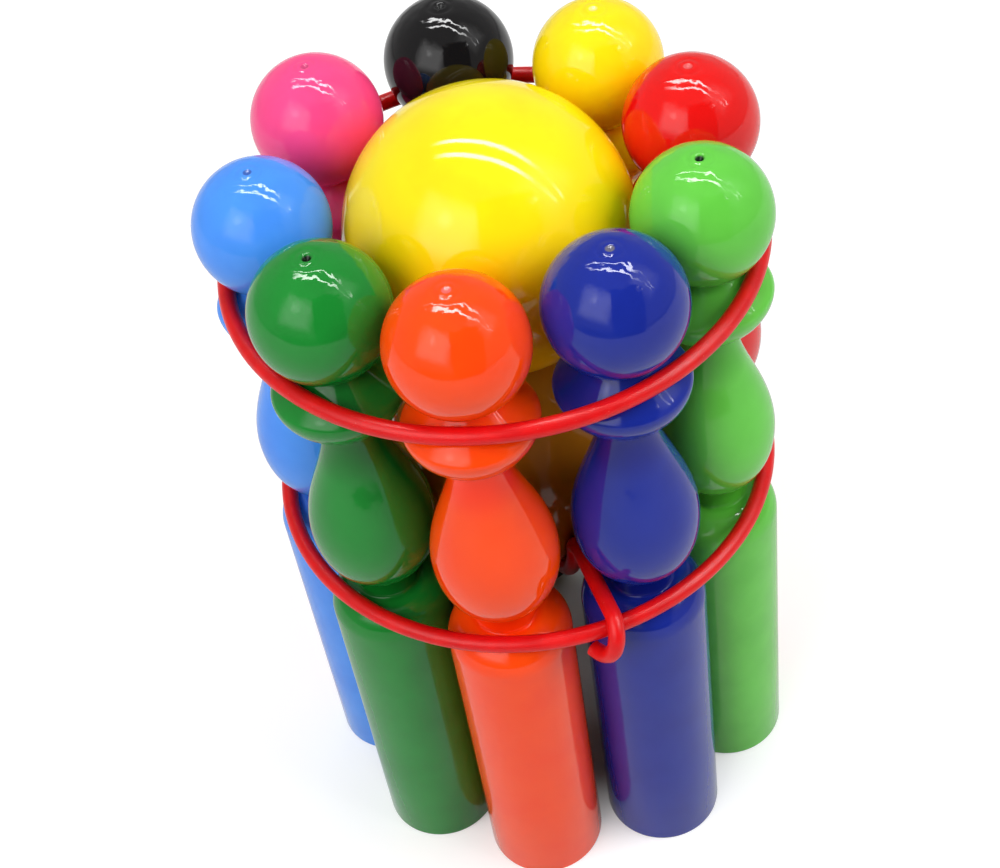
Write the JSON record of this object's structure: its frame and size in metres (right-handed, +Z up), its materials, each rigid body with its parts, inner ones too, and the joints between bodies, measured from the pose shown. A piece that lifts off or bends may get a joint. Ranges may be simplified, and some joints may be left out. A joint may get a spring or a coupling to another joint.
{
  "type": "wooden ninepins set",
  "caption": "Turned and lacquered wooden skittle pins standing in a ring round stacked wooden balls, held by wire hoops and a wire cradle under the balls.",
  "frame": {"origin": "on the floor, in the middle of the ring of pins, under the centres of the balls", "axes": "+Z up along the balls' and the hoops' axis; -Y is the front, where the orange pin stands 13 degrees to the left; +X is to the right of the front"},
  "size_m": [0.1148, 0.1179, 0.185],
  "materials": {
    "lacquer_orange": "turned wood under thick glossy orange lacquer",
    "lacquer_dark_blue": "turned wood under thick glossy dark blue lacquer",
    "lacquer_light_green": "turned wood under thick glossy light green lacquer",
    "lacquer_red": "turned wood under thick glossy red lacquer",
    "lacquer_yellow": "turned wood under thick glossy yellow lacquer",
    "lacquer_black": "turned wood under thick glossy black lacquer",
    "lacquer_pink": "turned wood under thick glossy pink lacquer",
    "lacquer_light_blue": "turned wood under thick glossy light blue lacquer",
    "lacquer_dark_green": "turned wood under thick glossy dark green lacquer",
    "lacquer_ball": "turned wood under thick glossy warm yellow lacquer",
    "coated_wire": "steel wire in satin red plastic coating"
  },
  "bodies": {
    "cradle": {"cradle_ring": "coated_wire", "cradle_wire_1": "coated_wire", "cradle_wire_2": "coated_wire", "cradle_wire_3": "coated_wire"},
    "lower_hoop": {"lower_hoop": "coated_wire"},
    "upper_hoop": {"upper_hoop": "coated_wire"},
    "lower_ball": {"lower_ball": "lacquer_ball"},
    "upper_ball": {"upper_ball": "lacquer_ball"},
    "pin_orange": {"pin_orange": "lacquer_orange"},
    "pin_dark_blue": {"pin_dark_blue": "lacquer_dark_blue"},
    "pin_light_green": {"pin_light_green": "lacquer_light_green"},
    "pin_red": {"pin_red": "lacquer_red"},
    "pin_yellow": {"pin_yellow": "lacquer_yellow"},
    "pin_black": {"pin_black": "lacquer_black"},
    "pin_pink": {"pin_pink": "lacquer_pink"},
    "pin_light_blue": {"pin_light_blue": "lacquer_light_blue"},
    "pin_dark_green": {"pin_dark_green": "lacquer_dark_green"}
  },
  "joints": [
    {"name": "lower_ball_lift", "type": "slide", "parent": "cradle", "child": "lower_ball", "axis": [0, 0, 1], "range_m": [0, 0.06]},
    {"name": "upper_ball_lift", "type": "slide", "parent": "lower_ball", "child": "upper_ball", "axis": [0, 0, 1], "range_m": [0, 0.06]},
    {"name": "upper_hoop_turn", "type": "hinge", "parent": "cradle", "child": "upper_hoop", "pos_m": [0, 0, 0.1529], "axis": [0, 0, 1], "continuous": true},
    {"name": "lower_hoop_turn", "type": "hinge", "parent": "cradle", "child": "lower_hoop", "pos_m": [0, 0, 0.0888], "axis": [0, 0, 1], "continuous": true},
    {"name": "pin_orange_spin", "type": "hinge", "parent": "cradle", "child": "pin_orange", "pos_m": [-0.00994, -0.04307, 0], "axis": [0, 0, 1], "continuous": true},
    {"name": "pin_dark_blue_spin", "type": "hinge", "parent": "cradle", "child": "pin_dark_blue", "pos_m": [0.01972, -0.03956, 0], "axis": [0, 0, 1], "continuous": true},
    {"name": "pin_light_green_spin", "type": "hinge", "parent": "cradle", "child": "pin_light_green", "pos_m": [0.03989, -0.01903, 0], "axis": [0, 0, 1], "continuous": true},
    {"name": "pin_red_spin", "type": "hinge", "parent": "cradle", "child": "pin_red", "pos_m": [0.04323, 0.00919, 0], "axis": [0, 0, 1], "continuous": true},
    {"name": "pin_yellow_spin", "type": "hinge", "parent": "cradle", "child": "pin_yellow", "pos_m": [0.02841, 0.03386, 0], "axis": [0, 0, 1], "continuous": true},
    {"name": "pin_black_spin", "type": "hinge", "parent": "cradle", "child": "pin_black", "pos_m": [-0.00231, 0.04414, 0], "axis": [0, 0, 1], "continuous": true},
    {"name": "pin_pink_spin", "type": "hinge", "parent": "cradle", "child": "pin_pink", "pos_m": [-0.03153, 0.03098, 0], "axis": [0, 0, 1], "continuous": true},
    {"name": "pin_light_blue_spin", "type": "hinge", "parent": "cradle", "child": "pin_light_blue", "pos_m": [-0.0442, -0.00039, 0], "axis": [0, 0, 1], "continuous": true},
    {"name": "pin_dark_green_spin", "type": "hinge", "parent": "cradle", "child": "pin_dark_green", "pos_m": [-0.03411, -0.02812, 0], "axis": [0, 0, 1], "continuous": true}
  ]
}
